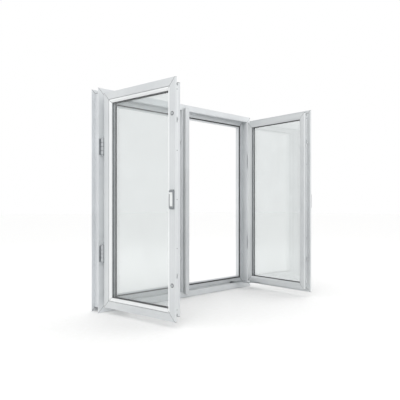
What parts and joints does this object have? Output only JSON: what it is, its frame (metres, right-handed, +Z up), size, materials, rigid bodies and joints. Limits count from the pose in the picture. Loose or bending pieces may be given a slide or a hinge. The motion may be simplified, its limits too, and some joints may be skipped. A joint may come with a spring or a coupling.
{
  "type": "casement window",
  "caption": "Casement window: mitred metal frame and fixed mullion, side-hung glazed sashes opening into the room on butt hinges, with flush levers, lock rods and sliding stays.",
  "frame": {"origin": "middle of the frame's bottom edge, on the plane of the frame's room face", "axes": "+X to the right seen from the room, +Y from the room to the outside, +Z up; the sashes stand open 86 degrees towards -Y"},
  "size_m": [1.2, 0.6408, 1.2],
  "materials": {
    "frame_finish": "satin powder coat, pale silver-grey",
    "gasket_rubber": "matt extruded rubber",
    "hardware_steel": "satin zinc-plated steel",
    "lever_finish": "satin pale coat over die-cast metal",
    "nylon": "matt moulded nylon",
    "glass": "clear, sealed double unit"
  },
  "bodies": {
    "frame": {"frame_head": "frame_finish", "frame_jamb_left": "frame_finish", "frame_jamb_right": "frame_finish", "frame_seal_left": "gasket_rubber", "frame_seal_right": "gasket_rubber", "frame_sill": "frame_finish", "hinge_frame_leaf_left_lower": "hardware_steel", "hinge_frame_leaf_left_upper": "hardware_steel", "hinge_frame_leaf_right_lower": "hardware_steel", "hinge_frame_leaf_right_upper": "hardware_steel", "hinge_pin_left_lower": "hardware_steel", "hinge_pin_left_upper": "hardware_steel", "hinge_pin_right_lower": "hardware_steel", "hinge_pin_right_upper": "hardware_steel", "keeper_left_lower": "hardware_steel", "keeper_left_upper": "hardware_steel", "keeper_right_lower": "hardware_steel", "keeper_right_upper": "hardware_steel", "mullion_cap": "frame_finish", "mullion_post": "frame_finish", "stay_rail_left": "hardware_steel", "stay_rail_right": "hardware_steel"},
    "sash_left": {"bead_bottom_left": "frame_finish", "bead_hinge_side_left": "frame_finish", "bead_lock_side_left": "frame_finish", "bead_top_left": "frame_finish", "glass_left": "glass", "glazing_gasket_left": "gasket_rubber", "handle_housing_left": "lever_finish", "lock_faceplate_left": "hardware_steel", "sash_bottom_left": "frame_finish", "sash_hinge_side_left": "frame_finish", "sash_lock_side_left": "frame_finish", "sash_top_left": "frame_finish", "stay_bracket_left": "hardware_steel", "hinge_sash_leaf_left_lower": "hardware_steel", "hinge_sash_leaf_left_upper": "hardware_steel"},
    "lever_left": {"handle_lever_left": "lever_finish"},
    "lock_rod_left": {"lock_rod_left": "hardware_steel"},
    "stay_arm_left": {"stay_arm_left": "hardware_steel"},
    "stay_shoe_left": {"stay_shoe_left": "nylon"},
    "sash_right": {"bead_bottom_right": "frame_finish", "bead_hinge_side_right": "frame_finish", "bead_lock_side_right": "frame_finish", "bead_top_right": "frame_finish", "glass_right": "glass", "glazing_gasket_right": "gasket_rubber", "handle_housing_right": "lever_finish", "lock_faceplate_right": "hardware_steel", "sash_bottom_right": "frame_finish", "sash_hinge_side_right": "frame_finish", "sash_lock_side_right": "frame_finish", "sash_top_right": "frame_finish", "stay_bracket_right": "hardware_steel", "hinge_sash_leaf_right_lower": "hardware_steel", "hinge_sash_leaf_right_upper": "hardware_steel"},
    "lever_right": {"handle_lever_right": "lever_finish"},
    "lock_rod_right": {"lock_rod_right": "hardware_steel"},
    "stay_arm_right": {"stay_arm_right": "hardware_steel"},
    "stay_shoe_right": {"stay_shoe_right": "nylon"}
  },
  "joints": [
    {"name": "sash_hinge_left", "type": "hinge", "parent": "frame", "child": "sash_left", "pos_m": [-0.5816, -0.0126, 0.6], "axis": [0, 0, 1], "range_deg": [0, 86]},
    {"name": "lever_pivot_left", "type": "hinge", "parent": "sash_left", "child": "lever_left", "pos_m": [-0.54848, -0.5522, 0.5699], "axis": [0.0698, -0.9976, 0], "range_deg": [0, 70]},
    {"name": "lock_rod_slide_left", "type": "slide", "parent": "sash_left", "child": "lock_rod_left", "axis": [0, 0, 1], "range_m": [0, 0.015]},
    {"name": "stay_arm_pivot_left", "type": "hinge", "parent": "sash_left", "child": "stay_arm_left", "pos_m": [-0.53305, -0.13351, 0.0445], "axis": [0, 0, 1], "range_deg": [-146.2, 0]},
    {"name": "stay_shoe_pivot_left", "type": "hinge", "parent": "stay_arm_left", "child": "stay_shoe_left", "pos_m": [-0.44089, 0.0274, 0.0445], "axis": [0, 0, 1], "range_deg": [0, 60.2]},
    {"name": "sash_hinge_right", "type": "hinge", "parent": "frame", "child": "sash_right", "pos_m": [0.5816, -0.0126, 0.6], "axis": [0, 0, 1], "range_deg": [-86, 0]},
    {"name": "lever_pivot_right", "type": "hinge", "parent": "sash_right", "child": "lever_right", "pos_m": [0.54848, -0.5522, 0.5699], "axis": [0.0698, 0.9976, 0], "range_deg": [0, 70]},
    {"name": "lock_rod_slide_right", "type": "slide", "parent": "sash_right", "child": "lock_rod_right", "axis": [0, 0, 1], "range_m": [0, 0.015]},
    {"name": "stay_arm_pivot_right", "type": "hinge", "parent": "sash_right", "child": "stay_arm_right", "pos_m": [0.53305, -0.13351, 0.0445], "axis": [0, 0, 1], "range_deg": [0, 146.2]},
    {"name": "stay_shoe_pivot_right", "type": "hinge", "parent": "stay_arm_right", "child": "stay_shoe_right", "pos_m": [0.44089, 0.0274, 0.0445], "axis": [0, 0, 1], "range_deg": [-60.2, 0]}
  ],
  "couplings": [
    {"joint": "lock_rod_slide_left", "follows": "lever_pivot_left", "m_per_rad": 0.012278},
    {"joint": "stay_arm_pivot_left", "follows": "sash_hinge_left", "ratio": -1.7},
    {"joint": "stay_shoe_pivot_left", "follows": "sash_hinge_left", "ratio": 0.7},
    {"joint": "lock_rod_slide_right", "follows": "lever_pivot_right", "m_per_rad": 0.012278},
    {"joint": "stay_arm_pivot_right", "follows": "sash_hinge_right", "ratio": -1.7},
    {"joint": "stay_shoe_pivot_right", "follows": "sash_hinge_right", "ratio": 0.7}
  ]
}
